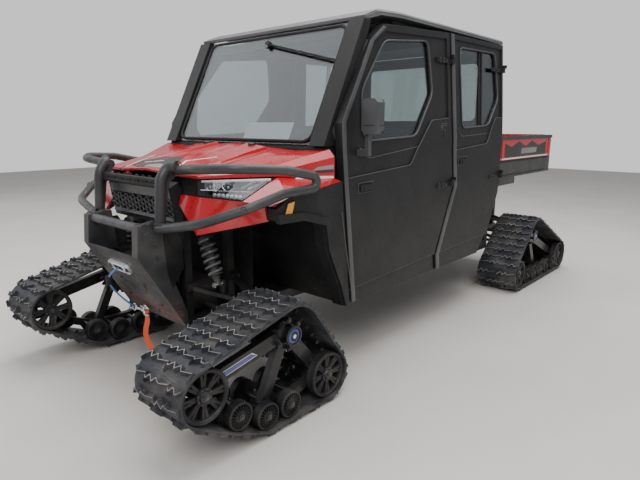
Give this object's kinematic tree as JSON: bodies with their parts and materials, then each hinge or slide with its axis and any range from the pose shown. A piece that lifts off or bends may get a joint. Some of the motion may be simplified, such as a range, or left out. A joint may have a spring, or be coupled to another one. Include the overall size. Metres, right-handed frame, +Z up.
{
  "type": "tracked utility terrain vehicle",
  "caption": "Crew-cab side-by-side utility vehicle on track units, with an enclosed cab, a tubular bull bar with winch, and a tilting cargo bed.",
  "frame": {"origin": "middle of the outline, on the ground", "axes": "+X to the vehicle's left, +Y to its rear, +Z up"},
  "size_m": [1.724, 4.258, 1.9224],
  "materials": {
    "amber_lens": "gloss",
    "bar_black": "satin powder coat",
    "belt_rubber": "matte",
    "black_plastic": "textured",
    "blue_rope": "braided",
    "cast": "cast",
    "clear_glass": "clear",
    "door_dark": "satin",
    "fairlead_alloy": "machined",
    "frame_black": "satin",
    "lamp_glass": "clear",
    "orange_strap": "webbing",
    "red_lens": "gloss",
    "red_paint": "gloss",
    "roof_grey": "matte",
    "seat_vinyl": "vinyl",
    "steel": "brushed",
    "wheel_black": "satin"
  },
  "bodies": {
    "chassis": {"chassis_frame": "frame_black", "skid_plate": "black_plastic", "engine_block": "cast", "axles": "cast", "suspension_arms": "frame_black", "shocks": "steel", "rear_knuckles": "cast", "rear_track_belts": "belt_rubber", "rear_track_wheels": "wheel_black", "rear_track_frames": "frame_black", "hitch_receiver": "frame_black", "bull_bar": "bar_black", "light_bar": "black_plastic", "winch": "frame_black", "fairlead": "fairlead_alloy", "winch_rope": "blue_rope", "winch_hook": "steel", "pull_strap": "orange_strap", "front_fenders": "red_paint", "cowl": "black_plastic", "grille": "black_plastic", "headlights": "lamp_glass", "lower_fenders": "black_plastic", "side_markers": "amber_lens", "cab_cage": "frame_black", "roof": "roof_grey", "windshield": "clear_glass", "wiper": "black_plastic", "pillar_covers": "door_dark", "cab_floor": "black_plastic", "rear_wall": "door_dark", "rear_window": "clear_glass", "dashboard": "black_plastic", "front_seat": "seat_vinyl", "rear_seat": "seat_vinyl"},
    "steer_left": {"front_left_knuckle": "cast", "front_left_track_belt": "belt_rubber", "front_left_track_wheels": "wheel_black", "front_left_track_frame": "frame_black"},
    "steer_right": {"front_right_knuckle": "cast", "front_right_track_belt": "belt_rubber", "front_right_track_wheels": "wheel_black", "front_right_track_frame": "frame_black"},
    "hood_lid": {"hood": "red_paint"},
    "steering": {"steering_wheel": "black_plastic"},
    "door_front_left": {"front_left_door": "door_dark", "front_left_window": "clear_glass", "side_mirror": "black_plastic"},
    "door_front_right": {"front_right_door": "door_dark", "front_right_window": "clear_glass"},
    "door_rear_left": {"rear_left_door": "door_dark", "rear_left_window": "clear_glass"},
    "door_rear_right": {"rear_right_door": "door_dark", "rear_right_window": "clear_glass"},
    "bed": {"cargo_bed": "red_paint", "tail_lamps": "red_lens"},
    "gate": {"tailgate": "red_paint"}
  },
  "joints": [
    {"name": "steer_left_turn", "type": "hinge", "parent": "chassis", "child": "steer_left", "pos_m": [0.6, -1.5045, 0.41], "axis": [0, 0, 1], "range_deg": [-22, 22]},
    {"name": "steer_right_turn", "type": "hinge", "parent": "chassis", "child": "steer_right", "pos_m": [-0.6, -1.5045, 0.41], "axis": [0, 0, 1], "range_deg": [-22, 22]},
    {"name": "steering_wheel_turn", "type": "hinge", "parent": "chassis", "child": "steering", "pos_m": [0.34, -0.7095, 1.08], "axis": [0, 0.8192, 0.5735], "range_deg": [-270, 270]},
    {"name": "hood_lift", "type": "hinge", "parent": "chassis", "child": "hood_lid", "pos_m": [0, -1.6695, 1.078], "axis": [1, 0, 0], "range_deg": [0, 50]},
    {"name": "front_left_door_swing", "type": "hinge", "parent": "chassis", "child": "door_front_left", "pos_m": [0.752, 0.0305, 0.95], "axis": [-0.0476, 0, 0.9989], "range_deg": [0, 70]},
    {"name": "front_right_door_swing", "type": "hinge", "parent": "chassis", "child": "door_front_right", "pos_m": [-0.752, 0.0305, 0.95], "axis": [-0.0476, 0, -0.9989], "range_deg": [0, 70]},
    {"name": "rear_left_door_swing", "type": "hinge", "parent": "chassis", "child": "door_rear_left", "pos_m": [0.752, 0.7805, 0.95], "axis": [-0.0476, 0, 0.9989], "range_deg": [0, 70]},
    {"name": "rear_right_door_swing", "type": "hinge", "parent": "chassis", "child": "door_rear_right", "pos_m": [-0.752, 0.7805, 0.95], "axis": [-0.0476, 0, -0.9989], "range_deg": [0, 70]},
    {"name": "bed_tilt", "type": "hinge", "parent": "chassis", "child": "bed", "pos_m": [0, 1.8065, 0.885], "axis": [-1, 0, 0], "range_deg": [0, 40]},
    {"name": "tailgate_swing", "type": "hinge", "parent": "bed", "child": "gate", "pos_m": [0, 1.9205, 0.95], "axis": [-1, 0, 0], "range_deg": [0, 90]}
  ],
  "couplings": [
    {"joint": "steer_right_turn", "follows": "steer_left_turn", "ratio": 1},
    {"joint": "steering_wheel_turn", "follows": "steer_left_turn", "ratio": 12.2}
  ]
}
